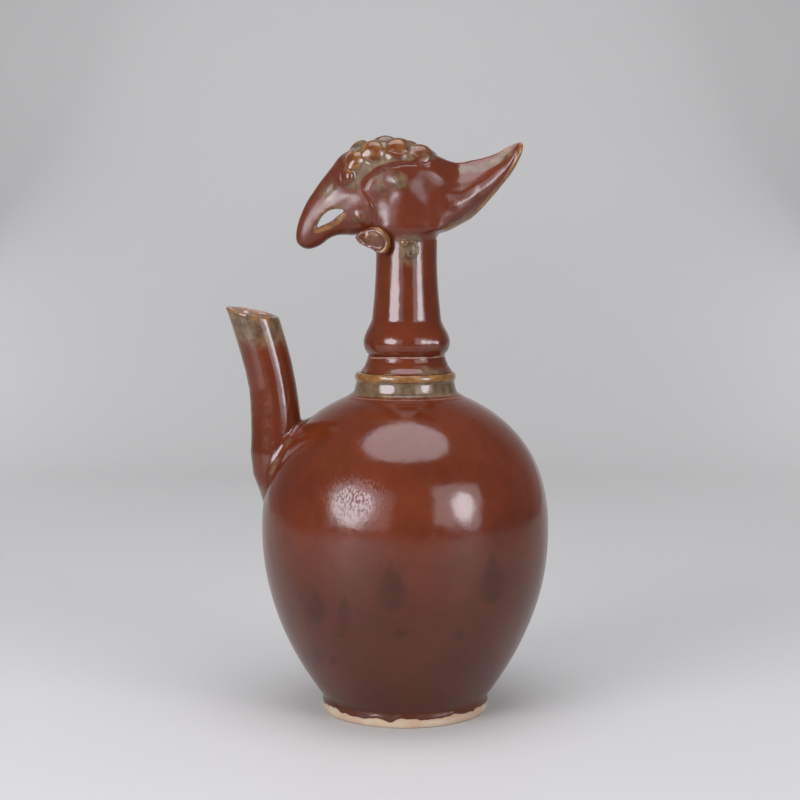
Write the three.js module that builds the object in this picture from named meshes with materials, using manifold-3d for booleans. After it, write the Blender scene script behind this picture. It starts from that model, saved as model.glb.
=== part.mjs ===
// Bird-headed ewer in brown-glazed stoneware: a thrown body, collar and neck, a press-moulded
// head with a swept-back plume, and a curved spout.
// Millimetres, +Z up. The origin is the middle of the foot, on the surface that the ewer stands on.
// The beak and the spout point along -X. The head's left side faces -Y, its right side +Y.
import * as THREE from "three";
import { mergeVertices } from "three/addons/utils/BufferGeometryUtils.js";
import Module from "manifold-3d";

// Foot and body
const FOOT_RADIUS = 46.3;
const FOOT_HEIGHT = 7.5;
const FOOT_CHAMFER = 0.8;
const FOOT_TOP_RADIUS = 45.7;
const FLOOR_THICKNESS = 6;
const BELLY_RADIUS = 80.1;
const BELLY_HEIGHT = 102;
const SHOULDER_HEIGHT = 176.5;
const CROWN_RISE = 6.5;
const BODY_WALL = 4.4;

// Collar, moulding and neck
const COLLAR_RADIUS = 27.8;
const COLLAR_HEIGHT = 13.2;
const COLLAR_BORE = 17;
const MOULDING_RADIUS = 23.9;
const MOULDING_HEIGHT = 28.3;
const MOULDING_BORE = 15.6;
const NECK_FOOT_RADIUS = 19.4;
const NECK_TOP_RADIUS = 16.8;
const NECK_HEIGHT = 47;
const NECK_BORE = 12.6;
const NECK_SHIFT = 0.7;

// Head: reaches are measured from the neck's axis, heights from the top of the neck
const BEAK_REACH = 60.4;
const PLUME_REACH = 64.6;
const HEAD_RISE = 51;
const HEAD_HALF_WIDTH = 17.6;
const HEAD_WALL = 4;
const SOCKET_HEIGHT = 11;
const MOUTH_RADIUS = 6.4;

// Applied clay: crest, eyes, cheek pellets, wattles and throat scrolls
const LOBE_THICKNESS = 3.4;
const LOBE_SIZE = 5.5;
const EYE_RADIUS = 4;
const EYE_RISE = 1.9;
const CHEEK_RADIUS = 2.9;
const CHEEK_RISE = 1.4;
const WATTLE_LENGTH = 19;
const WATTLE_HEIGHT = 14.2;
const WATTLE_THICKNESS = 7;
const WATTLE_DROP = 3.1;
const WATTLE_RIM = 1.7;
const WATTLE_DISH = 1.3;
const SCROLL_WIDTH = 8;
const SCROLL_HEIGHT = 9;
const SCROLL_CORD = 1;
const SCROLL_PELLET = 2.2;
const SCROLL_DROP = 7.6;
const SCROLL_OFFSET = 1.9;

// Spout: rise and lean are measured from its root on the body's surface
const SPOUT_RISE = 82;
const SPOUT_LEAN = 12.4;
const SPOUT_LIP_RADIUS = 13.2;
const SPOUT_WAIST_RADIUS = 13.2;
const SPOUT_ROOT_RADIUS = 14.8;
const SPOUT_WALL = 3.4;
const SPOUT_LIP_SLOPE = 11.2;
const SPOUT_LIP_TURN = 4;
const FILLET_WIDTH = 3.4;
const FILLET_RISE = 2.2;

// Joints that follow a curved neighbour stay this far from it, and cuts run past by the overrun
const SEAT_GAP = 0.3;
const OVERRUN = 12;

// Heights that follow from the sizes above. The body's curve would close at the crown, if the
// shoulder didn't cut it.
const CROWN_HEIGHT = SHOULDER_HEIGHT + CROWN_RISE;
const COLLAR_TOP = SHOULDER_HEIGHT + COLLAR_HEIGHT;
const MOULDING_TOP = COLLAR_TOP + MOULDING_HEIGHT;
const HEAD_SEAT = MOULDING_TOP + NECK_HEIGHT;

// Steps round and along each kind of surface
const BODY_SIDES = 52;
const NECK_SIDES = 36;
const BORE_SIDES = 28;
const BODY_STEPS = 9;
const NECK_STEPS = 5;
const HEAD_SIDES = 20;
const CAVITY_SIDES = 12;
const HEAD_STEPS = 2;
const SPOUT_SIDES = 24;
const SPOUT_STEPS = 13;
const PELLET_SIDES = 10;
const PELLET_STEPS = 6;
const SPLINE_STEPS = 2;
const SCROLL_STEPS = 14;
const SCROLL_SIDES = 3;

// Halvings of an interval in a search, enough to find a place to a thousandth of a millimetre
const HALVINGS = 16;

// Exponents of the body's curves: the lower bowl and the squarer shoulder
const BOWL_POWER = 2.08;
const SHOULDER_POWER = 2.39;
const SHOULDER_ROOT = 1.83;
const NECK_POWER = 2.3;

const wasm = await Module();
wasm.setup();

// Closed solid from a geometry: shared corners merged, faces without area dropped
function solid(geometry) {
  const bare = geometry.clone();
  bare.deleteAttribute("normal");
  bare.deleteAttribute("uv");
  const merged = mergeVertices(bare);
  const corners = merged.index.array;
  const kept = [];
  for (let i = 0; i < corners.length; i += 3) {
    const [a, b, c] = [corners[i], corners[i + 1], corners[i + 2]];
    if (a !== b && b !== c && c !== a) kept.push(a, b, c);
  }
  const mesh = new wasm.Mesh({
    numProp: 3,
    vertProperties: new Float32Array(merged.attributes.position.array),
    triVerts: new Uint32Array(kept),
  });
  return new wasm.Manifold(mesh);
}

// Geometry from a solid
function surface(shape) {
  const mesh = shape.getMesh();
  const geometry = new THREE.BufferGeometry();
  geometry.setAttribute("position", new THREE.BufferAttribute(new Float32Array(mesh.vertProperties), 3));
  geometry.setIndex(new THREE.BufferAttribute(new Uint32Array(mesh.triVerts), 1));
  return geometry;
}

// Skin over a row of rings with equal counts of points, closed by a fan at each end
function skin(rings) {
  const sides = rings[0].length;
  const points = rings.flat();
  const faces = [];
  for (let i = 0; i + 1 < rings.length; i += 1) {
    for (let j = 0; j < sides; j += 1) {
      const k = (j + 1) % sides;
      const [a, b] = [i * sides + j, i * sides + k];
      const [c, d] = [a + sides, b + sides];
      faces.push(a, b, d, a, d, c);
    }
  }
  const last = (rings.length - 1) * sides;
  const ends = [rings[0], rings[rings.length - 1]].map(
    (ring) => ring.reduce((sum, point) => sum.add(point), new THREE.Vector3()).divideScalar(sides),
  );
  for (let j = 0; j < sides; j += 1) {
    const k = (j + 1) % sides;
    faces.push(points.length, k, j, points.length + 1, last + j, last + k);
  }
  const geometry = new THREE.BufferGeometry().setFromPoints([...points, ...ends]);
  geometry.setIndex(faces);
  return geometry;
}

// Solid of revolution from [radius, height] pairs that climb the outside, its axis moved along X
function turned(profile, sides, x = 0) {
  const points = profile.map(([radius, height]) => new THREE.Vector2(radius, height));
  const geometry = new THREE.LatheGeometry(points, sides);
  geometry.rotateX(Math.PI / 2);
  geometry.translate(x, 0, 0);
  return solid(geometry);
}

// Upright rod about the Z axis, moved along X
function rod(radius, bottom, top, x = 0) {
  const geometry = new THREE.CylinderGeometry(radius, radius, top - bottom, BORE_SIDES);
  geometry.rotateX(Math.PI / 2);
  geometry.translate(x, 0, (top + bottom) / 2);
  return solid(geometry);
}

// Block between two corners
function block(low, high) {
  const size = high.map((value, i) => value - low[i]);
  const geometry = new THREE.BoxGeometry(...size);
  geometry.translate(...low.map((value, i) => value + size[i] / 2));
  return solid(geometry);
}

// Plate with an outline in the XZ plane, centred on the plane y = 0
function plate(outline, thickness) {
  const options = { depth: thickness, bevelEnabled: false, curveSegments: SPLINE_STEPS };
  const geometry = new THREE.ExtrudeGeometry(outline, options);
  geometry.rotateX(Math.PI / 2);
  geometry.translate(0, thickness / 2, 0);
  return geometry;
}

// The same shape on the other side of the plane y = 0
function mirrored(shape) {
  const geometry = surface(shape);
  geometry.scale(1, -1, 1);
  const corners = geometry.index.array;
  for (let i = 0; i < corners.length; i += 3) {
    [corners[i], corners[i + 1]] = [corners[i + 1], corners[i]];
  }
  return solid(geometry);
}

// Evenly spaced numbers from first to last
function steps(first, last, count) {
  return Array.from({ length: count + 1 }, (_, i) => first + ((last - first) * i) / count);
}

// Outer radius of the body at a height
function bodyRadius(height) {
  if (height < BELLY_HEIGHT) {
    const share = (BELLY_HEIGHT - height) / (BELLY_HEIGHT - FOOT_HEIGHT);
    return BELLY_RADIUS - (BELLY_RADIUS - FOOT_TOP_RADIUS) * share ** BOWL_POWER;
  }
  const share = Math.min(1, (height - BELLY_HEIGHT) / (CROWN_HEIGHT - BELLY_HEIGHT));
  return BELLY_RADIUS * (1 - share ** SHOULDER_POWER) ** (1 / SHOULDER_ROOT);
}

// Heights of the rings between two levels, closer together towards the end that curves most
function bodyHeights(bottom, top) {
  return steps(0, 1, BODY_STEPS).map((t) => bottom + (top - bottom) * Math.sin((t * Math.PI) / 2));
}

// The whole outside of the body as a solid, thicker by grow, for cutting what is luted to it
function bodyBlank(grow) {
  const lower = bodyHeights(BELLY_HEIGHT, FOOT_HEIGHT).reverse();
  const upper = bodyHeights(BELLY_HEIGHT, SHOULDER_HEIGHT).slice(1);
  const outside = [...lower, ...upper].map((height) => [bodyRadius(height) + grow, height]);
  return turned([[0, FOOT_HEIGHT], ...outside, [0, SHOULDER_HEIGHT + grow]], BODY_SIDES);
}

// Foot: a plain flat base, chamfered where it meets the table
function makeFoot() {
  const outline = [
    [0, 0],
    [FOOT_RADIUS - FOOT_CHAMFER, 0],
    [FOOT_RADIUS, FOOT_CHAMFER],
    [FOOT_TOP_RADIUS, FOOT_HEIGHT],
    [0, FOOT_HEIGHT],
  ];
  return turned(outline, BODY_SIDES);
}

// Lower bowl of the body, open at the belly seam
function makeBodyLower() {
  const floor = FOOT_HEIGHT + FLOOR_THICKNESS;
  const outside = bodyHeights(BELLY_HEIGHT, FOOT_HEIGHT).reverse();
  const inside = bodyHeights(BELLY_HEIGHT, floor);
  const outline = [
    [0, FOOT_HEIGHT],
    ...outside.map((height) => [bodyRadius(height), height]),
    ...inside.map((height) => [bodyRadius(height) - BODY_WALL, height]),
    [0, floor],
  ];
  return turned(outline, BODY_SIDES);
}

// Upper bowl of the body with the hole under the collar and the hole behind the spout
function makeBodyUpper() {
  const ceiling = SHOULDER_HEIGHT - BODY_WALL;
  const outside = bodyHeights(BELLY_HEIGHT, SHOULDER_HEIGHT);
  const inside = bodyHeights(BELLY_HEIGHT, ceiling).reverse();
  const outline = [
    ...outside.map((height) => [bodyRadius(height), height]),
    [COLLAR_BORE, SHOULDER_HEIGHT],
    [COLLAR_BORE, ceiling],
    ...inside.map((height) => [bodyRadius(height) - BODY_WALL, height]),
    [BELLY_RADIUS, BELLY_HEIGHT],
  ];
  return turned(outline, BODY_SIDES).subtract(spoutTube(-SPOUT_WALL));
}

// Collar on the shoulder, flared at its root into the body
function makeCollar() {
  const flare = bodyRadius(SHOULDER_HEIGHT) - COLLAR_RADIUS;
  const flareShares = [[1, 0], [0.62, 0.1], [0.36, 0.22], [0.14, 0.4], [0, 0.58], [-0.08, 0.84], [-0.2, 0.96], [-0.42, 1]];
  const outside = flareShares.map(([out, up]) => [COLLAR_RADIUS + flare * out, SHOULDER_HEIGHT + COLLAR_HEIGHT * up]);
  const outline = [...outside, [COLLAR_BORE, COLLAR_TOP], [COLLAR_BORE, SHOULDER_HEIGHT], outside[0]];
  return turned(outline, NECK_SIDES);
}

// Moulding: a hollow cone, a groove and a round ring, drawn in to the foot of the neck
function makeMoulding() {
  const ringShares = [
    [1.065, 0], [1.01, 0.08], [0.94, 0.17], [0.912, 0.26], [0.89, 0.33], [0.925, 0.39],
    [0.975, 0.48], [1, 0.58], [0.995, 0.68], [0.955, 0.78], [0.885, 0.89],
  ];
  const outside = ringShares.map(([out, up]) => [MOULDING_RADIUS * out, COLLAR_TOP + MOULDING_HEIGHT * up]);
  const outline = [
    ...outside,
    [NECK_FOOT_RADIUS, MOULDING_TOP],
    [MOULDING_BORE, MOULDING_TOP],
    [COLLAR_BORE - NECK_SHIFT, COLLAR_TOP],
    outside[0],
  ];
  return turned(outline, NECK_SIDES, NECK_SHIFT);
}

// Outer radius of the neck at a share of its height
function neckRadius(share) {
  return NECK_TOP_RADIUS + (NECK_FOOT_RADIUS - NECK_TOP_RADIUS) * (1 - share) ** NECK_POWER;
}

// Neck tube, narrowing upwards outside and inside
function makeNeck() {
  const outside = steps(0, 1, NECK_STEPS).map((up) => [neckRadius(up), MOULDING_TOP + NECK_HEIGHT * up]);
  const outline = [...outside, [NECK_BORE, HEAD_SEAT], [MOULDING_BORE, MOULDING_TOP], outside[0]];
  return turned(outline, NECK_SIDES, NECK_SHIFT);
}

// The neck's outside as a solid, thicker by grow, for cutting what is luted to it
function neckBlank(grow) {
  const outside = steps(0, 1, NECK_STEPS).map((up) => [neckRadius(up) + grow, MOULDING_TOP + NECK_HEIGHT * up]);
  return turned([[0, MOULDING_TOP], ...outside, [0, HEAD_SEAT]], NECK_SIDES, NECK_SHIFT);
}

// Place in the head's side view from shares of the reach and the rise
function headPoint(alongShare, upShare) {
  const reach = alongShare < 0 ? BEAK_REACH : PLUME_REACH;
  return new THREE.Vector2(alongShare * reach, HEAD_SEAT + upShare * HEAD_RISE);
}

// Sections of the head from the tip of the beak to the tip of the plume. Each row holds the top
// point, the bottom point, the half width, the lean of the widest place upwards, and the squareness.
const headShares = [
  [-0.988, -0.08, -0.937, -0.131, 0.125, 0, 1],
  [-0.999, -0.02, -0.884, -0.147, 0.26, 0, 1],
  [-0.992, 0.063, -0.821, -0.129, 0.36, 0, 1],
  [-0.964, 0.18, -0.762, -0.094, 0.41, -0.02, 1],
  [-0.907, 0.343, -0.705, -0.039, 0.445, -0.06, 1],
  [-0.82, 0.5, -0.639, -0.002, 0.5, -0.1, 1],
  [-0.726, 0.656, -0.563, 0.01, 0.59, -0.12, 1],
  [-0.629, 0.796, -0.48, 0.002, 0.695, -0.12, 1.1],
  [-0.513, 0.892, -0.381, 0.006, 0.8, -0.1, 1.22],
  [-0.381, 0.955, -0.265, 0.018, 0.89, -0.06, 1.34],
  [-0.232, 0.985, -0.132, 0.022, 0.955, -0.03, 1.4],
  [-0.083, 0.98, 0, 0.022, 1, 0, 1.4],
  [0.07, 0.935, 0.132, 0.022, 1, 0, 1.36],
  [0.209, 0.87, 0.255, 0.026, 0.96, 0.02, 1.26],
  [0.325, 0.823, 0.382, 0.061, 0.88, 0.06, 1.12],
  [0.433, 0.79, 0.502, 0.143, 0.76, 0.12, 1],
  [0.542, 0.8, 0.621, 0.255, 0.625, 0.2, 1],
  [0.658, 0.835, 0.738, 0.416, 0.48, 0.28, 1],
  [0.774, 0.882, 0.844, 0.573, 0.335, 0.32, 1],
  [0.875, 0.949, 0.929, 0.729, 0.21, 0.32, 1],
  [0.947, 0.998, 0.982, 0.861, 0.115, 0.3, 1],
  [0.977, 1.02, 1, 0.962, 0.06, 0.2, 1],
];
const HEAD_LAST = headShares.length - 1;

// Rows of headShares that bound the hollow inside the head
const CAVITY_FIRST_ROW = 8.7;
const CAVITY_LAST_ROW = 16.2;

// Smooth value between four neighbouring rows
function smooth([before, from, to, after], t) {
  const bend = 2 * before - 5 * from + 4 * to - after;
  const twist = 3 * from - before - 3 * to + after;
  return from + (t * (to - before + t * (bend + t * twist))) / 2;
}

// The head's section at a place along the rows of headShares, whole or between two rows
function headSection(row) {
  const start = Math.min(Math.floor(row), HEAD_LAST - 1);
  const near = [-1, 0, 1, 2].map((offset) => headShares[Math.min(Math.max(start + offset, 0), HEAD_LAST)]);
  const shares = near[0].map((_, column) => smooth(near.map((values) => values[column]), row - start));
  const [topAlong, topUp, lowAlong, lowUp, width, lean, squareness] = shares;
  const top = headPoint(topAlong, topUp);
  const low = headPoint(lowAlong, lowUp);
  const middle = top.clone().add(low).divideScalar(2);
  const half = top.distanceTo(low) / 2;
  const direction = top.clone().sub(low).normalize();
  return { middle, direction, half, width: width * HEAD_HALF_WIDTH, lean, power: 2 * squareness };
}

// Point on a section at an angle from its top, moved outwards by grow
function sectionPoint(section, angle, grow) {
  const { middle, direction, half, width, lean, power } = section;
  const [up, out] = [Math.cos(angle), Math.sin(angle)];
  const along = Math.sign(up) * Math.abs(up) ** (2 / power);
  const across = Math.sign(out) * Math.abs(out) ** (2 / power) * (1 + lean * along);
  const place = middle.clone().addScaledVector(direction, along * (half + grow));
  return new THREE.Vector3(place.x, across * (width + grow), place.y);
}

// The head as a solid between two rows, thicker by grow or thinner by a negative grow
function headBlank(grow, first, last, sides) {
  const count = Math.round((last - first) * HEAD_STEPS);
  const rings = steps(first, last, count).map((row) => {
    const section = headSection(row);
    return steps(0, -2 * Math.PI, sides).slice(0, sides).map((angle) => sectionPoint(section, angle, grow));
  });
  return solid(skin(rings));
}

// Place on the head's left side, seen at a point of the side view
function headSide(alongShare, upShare) {
  const place = headPoint(alongShare, upShare);
  let [low, high] = [0, HEAD_LAST];
  for (let i = 0; i < HALVINGS; i += 1) {
    const row = (low + high) / 2;
    const { middle, direction } = headSection(row);
    const beyond = direction.cross(place.clone().sub(middle)) < 0;
    [low, high] = beyond ? [row, high] : [low, row];
  }
  const { middle, direction, half, width, lean, power } = headSection(low);
  const along = Math.max(-1, Math.min(1, place.clone().sub(middle).dot(direction) / half));
  const across = (1 - Math.abs(along) ** power) ** (1 / power) * (1 + lean * along);
  return new THREE.Vector3(place.x, -across * width, place.y);
}

// Plane where the beak is luted to the head, and the pierced gap between its two parts
const beakRoot = headPoint(-0.53, 0).x;
const gapUpperShares = [[-0.824, 0.07], [-0.801, 0.129], [-0.767, 0.202], [-0.71, 0.263], [-0.646, 0.288], [-0.565, 0.284]];
const gapLowerShares = [[-0.55, 0.255], [-0.596, 0.222], [-0.669, 0.155], [-0.735, 0.12]];
const gapMiddleShares = [[-0.68, 0.215], [-0.6, 0.25]];

// Rod across the head with the outline of the pierced gap
function beakGap() {
  const upper = gapUpperShares.map((shares) => headPoint(...shares));
  const lower = gapLowerShares.map((shares) => headPoint(...shares));
  const outline = new THREE.Shape();
  outline.moveTo(upper[0].x, upper[0].y);
  outline.splineThru(upper.slice(1));
  outline.lineTo(lower[0].x, lower[0].y);
  outline.splineThru([...lower.slice(1), upper[0]]);
  return solid(plate(outline, 2 * (HEAD_HALF_WIDTH + OVERRUN)));
}

// Block that holds the lower beak: from the front corner of the gap to the head, below its middle
function lowerBeakBlock() {
  const front = headPoint(...gapUpperShares[0]);
  const back = headPoint(...gapLowerShares[0]);
  const across = HEAD_HALF_WIDTH + OVERRUN;
  const bottom = HEAD_SEAT - HEAD_RISE;
  const outline = new THREE.Shape();
  outline.moveTo(front.x, front.y);
  for (const { x, y } of gapMiddleShares.map((shares) => headPoint(...shares))) outline.lineTo(x, y);
  outline.lineTo(back.x, back.y);
  outline.lineTo(beakRoot + OVERRUN, back.y);
  outline.lineTo(beakRoot + OVERRUN, bottom);
  outline.lineTo(front.x, bottom);
  outline.closePath();
  return solid(plate(outline, 2 * across));
}

// The two parts of the beak
function makeBeak() {
  const across = HEAD_HALF_WIDTH + OVERRUN;
  const [bottom, top] = [HEAD_SEAT - HEAD_RISE, HEAD_SEAT + 2 * HEAD_RISE];
  const ahead = block([-BEAK_REACH - OVERRUN, -across, bottom], [beakRoot, across, top]);
  const whole = headBlank(0, 0, HEAD_LAST, HEAD_SIDES).intersect(ahead).subtract(beakGap());
  const share = lowerBeakBlock();
  return [whole.subtract(share), whole.intersect(share)];
}

// Middle of the filling mouth, hidden inside the ring of the crest
const mouthShares = [-0.1, 0.5];

// Rod that opens the filling mouth from the hollow of the head upwards, wider by grow
function mouthRod(grow) {
  const low = headPoint(...mouthShares);
  return rod(MOUTH_RADIUS + grow, low.y, low.y + HEAD_RISE, low.x);
}

// Left half of the head and plume: hollow, with the neck's bore below and the mouth in the crest
function makeHeadLeft() {
  const middle = headSection(HEAD_LAST / 2).middle;
  const [bottom, top] = [HEAD_SEAT - HEAD_RISE, HEAD_SEAT + 2 * HEAD_RISE];
  const across = HEAD_HALF_WIDTH + OVERRUN;
  const behind = block([beakRoot, -across, bottom], [PLUME_REACH + OVERRUN, 0, top]);
  const socket = rod(NECK_TOP_RADIUS, HEAD_SEAT, HEAD_SEAT + SOCKET_HEIGHT, NECK_SHIFT);
  return headBlank(0, 0, HEAD_LAST, HEAD_SIDES)
    .subtract(rod(NECK_TOP_RADIUS + SEAT_GAP, bottom, HEAD_SEAT, NECK_SHIFT))
    .add(socket)
    .subtract(headBlank(-HEAD_WALL, CAVITY_FIRST_ROW, CAVITY_LAST_ROW, CAVITY_SIDES))
    .subtract(rod(NECK_BORE, bottom, middle.y, NECK_SHIFT))
    .subtract(mouthRod(0))
    .intersect(behind);
}

// Crest lobes on each side: place along and up the head, half length and half height
const leftLobeShares = [
  [-0.512, 0.645, 0.44, 0.86],
  [-0.452, 0.802, 0.62, 0.78],
  [-0.275, 0.918, 1, 0.94],
  [-0.055, 0.95, 1, 0.88],
  [0.148, 0.876, 0.94, 0.8],
];
const rightLobeShares = [
  [-0.575, 0.765, 0.44, 0.86],
  [-0.42, 0.925, 0.84, 0.88],
  [-0.19, 0.985, 1, 0.96],
  [0.025, 0.94, 0.96, 0.88],
  [0.2, 0.855, 0.84, 0.74],
];

// Pellet of clay pressed on the head's left side and trimmed to it
function pellet(place, [length, thickness, height]) {
  const geometry = new THREE.SphereGeometry(1, PELLET_SIDES, PELLET_STEPS);
  geometry.rotateX(Math.PI / 2);
  geometry.scale(length, thickness, height);
  geometry.translate(place.x, place.y, place.z);
  return solid(geometry).subtract(headBlank(SEAT_GAP, 0, HEAD_LAST, HEAD_SIDES));
}

// Crest lobe of the left side from its row of shares, standing outside the rim of the filling mouth
function makeLobe([alongShare, upShare, lengthShare, heightShare]) {
  const size = [LOBE_SIZE * lengthShare, LOBE_THICKNESS, LOBE_SIZE * heightShare];
  const centre = headSide(alongShare, upShare);
  const ahead = centre.x - headPoint(...mouthShares).x;
  const clear = MOUTH_RADIUS + LOBE_THICKNESS;
  centre.y = Math.min(centre.y, -Math.sqrt(Math.max(0, clear ** 2 - ahead ** 2)));
  return pellet(centre, size).subtract(mouthRod(SEAT_GAP));
}

// Eye and cheek pellet of the left side
const eyeShares = [-0.048, 0.569];
const cheekShares = [-0.419, 0.206];

function makeEye() {
  return pellet(headSide(...eyeShares), [EYE_RADIUS, EYE_RISE, EYE_RADIUS]);
}

function makeCheekPellet() {
  return pellet(headSide(...cheekShares), [CHEEK_RADIUS, CHEEK_RISE, CHEEK_RADIUS]);
}

// Wattle of the left side: an ear-shaped flap with a raised rim, between the jaw and the neck
const wattleShares = [
  [-0.5, 0.14], [-0.39, 0.33], [-0.18, 0.45], [0.02, 0.53], [0.2, 0.53], [0.34, 0.4],
  [0.45, 0.18], [0.5, -0.08], [0.46, -0.32], [0.36, -0.48], [0.2, -0.44], [0.06, -0.3],
  [-0.16, -0.19], [-0.36, -0.06],
];

function wattleOutline(inset) {
  const points = wattleShares.map(
    ([along, up]) => new THREE.Vector2(along * (WATTLE_LENGTH - 2 * inset), up * (WATTLE_HEIGHT - 2 * inset)),
  );
  const outline = new THREE.Shape();
  outline.moveTo(points[0].x, points[0].y);
  for (const point of [...points.slice(1), points[0]]) outline.lineTo(point.x, point.y);
  return outline;
}

// Curl of clay in the dish of the wattle: half length, half height, and place along and up the flap
const curlShares = { length: 0.11, height: 0.2, along: -0.125, up: 0.1 };

function makeWattle() {
  const flap = plate(wattleOutline(0), WATTLE_THICKNESS);
  const dish = plate(wattleOutline(WATTLE_RIM), WATTLE_THICKNESS);
  dish.translate(0, WATTLE_DISH - WATTLE_THICKNESS, 0);
  const curl = new THREE.SphereGeometry(1, PELLET_SIDES, PELLET_STEPS);
  curl.scale(WATTLE_LENGTH * curlShares.length, WATTLE_DISH * 2, WATTLE_HEIGHT * curlShares.height);
  curl.translate(WATTLE_LENGTH * curlShares.along, WATTLE_DISH - WATTLE_THICKNESS / 2, WATTLE_HEIGHT * curlShares.up);
  const turn = Math.atan2(NECK_TOP_RADIUS / 2, WATTLE_LENGTH);
  for (const geometry of [flap, dish, curl]) {
    geometry.rotateZ(-turn);
    geometry.translate(
      NECK_SHIFT - NECK_TOP_RADIUS - WATTLE_DISH,
      -(NECK_TOP_RADIUS + WATTLE_THICKNESS) / 2 - WATTLE_DISH,
      HEAD_SEAT - WATTLE_DROP,
    );
  }
  return solid(flap)
    .subtract(solid(dish))
    .add(solid(curl))
    .subtract(neckBlank(SEAT_GAP))
    .subtract(rod(NECK_TOP_RADIUS + SEAT_GAP, HEAD_SEAT - SEAT_GAP, HEAD_SEAT + SOCKET_HEIGHT + SEAT_GAP, NECK_SHIFT))
    .subtract(headBlank(SEAT_GAP, 0, HEAD_LAST, HEAD_SIDES));
}

// Throat scroll of the left side: a small cord that curls round from a pellet, laid on the neck
const scrollShares = [
  [-0.36, 0.42], [0.3, 0.46], [0.5, 0.02], [0.26, -0.42], [-0.14, -0.36], [-0.12, -0.04], [0.12, -0.02],
];

function makeScroll() {
  const centre = HEAD_SEAT - SCROLL_DROP;
  const places = scrollShares.map(([along, up]) => {
    const x = SCROLL_OFFSET + along * SCROLL_WIDTH;
    return new THREE.Vector3(NECK_SHIFT + x, -Math.sqrt(NECK_TOP_RADIUS ** 2 - x ** 2), centre + up * SCROLL_HEIGHT);
  });
  const path = new THREE.CatmullRomCurve3(places);
  const section = new THREE.Shape().absarc(0, 0, SCROLL_CORD, 0, 2 * Math.PI);
  const options = { extrudePath: path, steps: SCROLL_STEPS, curveSegments: SCROLL_SIDES, bevelEnabled: false };
  const cord = new THREE.ExtrudeGeometry(section, options);
  const bead = new THREE.SphereGeometry(SCROLL_PELLET, PELLET_SIDES, PELLET_STEPS);
  bead.scale(1, SCROLL_CORD / SCROLL_PELLET, 1);
  bead.translate(places[0].x, places[0].y, places[0].z);
  return solid(cord).add(solid(bead)).subtract(neckBlank(SEAT_GAP));
}

// Root of the spout on the body's surface, midway between the belly and the shoulder
const spoutRootHeight = (BELLY_HEIGHT + SHOULDER_HEIGHT) / 2 + FILLET_WIDTH / 2;
const spoutRoot = new THREE.Vector2(-bodyRadius(spoutRootHeight), spoutRootHeight);

// The spout's middle line: inside the body in shares of the root's radius, above it in shares of
// the lean and the rise
const spoutInnerShares = [[1.1, -1.85], [0.62, -1.4], [0.23, -0.76]];
const spoutOuterShares = [
  [-0.05, 0], [-0.04, 0.12], [0, 0.28], [0.06, 0.4], [0.17, 0.53], [0.4, 0.69], [0.65, 0.82], [1, 1], [1.62, 1.24],
];

function spoutPath() {
  const inner = spoutInnerShares.map(([along, up]) => [along * SPOUT_ROOT_RADIUS, up * SPOUT_ROOT_RADIUS]);
  const outer = spoutOuterShares.map(([lean, rise]) => [-lean * SPOUT_LEAN, rise * SPOUT_RISE]);
  const points = [...inner, ...outer].map(([x, z]) => new THREE.Vector3(spoutRoot.x + x, 0, spoutRoot.y + z));
  return new THREE.CatmullRomCurve3(points, false, "centripetal");
}

// The spout as a solid along its middle line, thicker by grow
function spoutTube(grow) {
  const path = spoutPath();
  const rings = steps(0, 1, SPOUT_STEPS).map((t) => {
    const place = path.getPoint(t);
    const tangent = path.getTangent(t);
    const rise = (place.z - spoutRoot.y) / SPOUT_RISE;
    const lower = Math.min(1, Math.max(0, 2 * rise));
    const upper = Math.min(1, Math.max(0, 2 * rise - 1));
    const radius =
      SPOUT_ROOT_RADIUS + (SPOUT_WAIST_RADIUS - SPOUT_ROOT_RADIUS) * lower + (SPOUT_LIP_RADIUS - SPOUT_WAIST_RADIUS) * upper;
    const side = new THREE.Vector3(tangent.z, 0, -tangent.x);
    return steps(0, 2 * Math.PI, SPOUT_SIDES).slice(0, SPOUT_SIDES).map((angle) => place.clone()
      .addScaledVector(side, (radius + grow) * Math.cos(angle))
      .add(new THREE.Vector3(0, (radius + grow) * Math.sin(angle), 0)));
  });
  return solid(skin(rings));
}

// Everything above the sloping plane of the spout's lip
function aboveLip() {
  const reach = SPOUT_RISE;
  const geometry = new THREE.BoxGeometry(reach, reach, reach);
  geometry.translate(0, 0, reach / 2);
  geometry.rotateX(THREE.MathUtils.degToRad(SPOUT_LIP_TURN));
  geometry.rotateY(THREE.MathUtils.degToRad(SPOUT_LIP_SLOPE));
  geometry.translate(spoutRoot.x - SPOUT_LEAN, 0, spoutRoot.y + SPOUT_RISE);
  return solid(geometry);
}

function makeSpout() {
  return spoutTube(0).subtract(aboveLip()).subtract(spoutTube(-SPOUT_WALL)).subtract(bodyBlank(SEAT_GAP));
}

// Roll of slip round the root of the spout
function makeSpoutFillet() {
  return spoutTube(FILLET_WIDTH)
    .intersect(bodyBlank(FILLET_RISE))
    .subtract(bodyBlank(SEAT_GAP))
    .subtract(spoutTube(SEAT_GAP));
}

// Finishes
const finishes = {
  brownGlaze: { color: "#7a3c29", roughness: 0.3, metalness: 0 },
  oliveGlaze: { color: "#7d7053", roughness: 0.2, metalness: 0 },
  amberGlaze: { color: "#b4742f", roughness: 0.25, metalness: 0 },
  bareClay: { color: "#d8c3a5", roughness: 0.9, metalness: 0 },
};

const ewer = new THREE.Group();

// Adds one named piece to the ewer
function place(name, shape, finish) {
  const mesh = new THREE.Mesh(surface(shape), new THREE.MeshStandardMaterial(finishes[finish]));
  mesh.name = name;
  ewer.add(mesh);
}

// Adds a piece of the left side and its mirror image on the right
function placePair(name, shape, finish) {
  place(`${name}_left`, shape, finish);
  place(`${name}_right`, mirrored(shape), finish);
}

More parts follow.
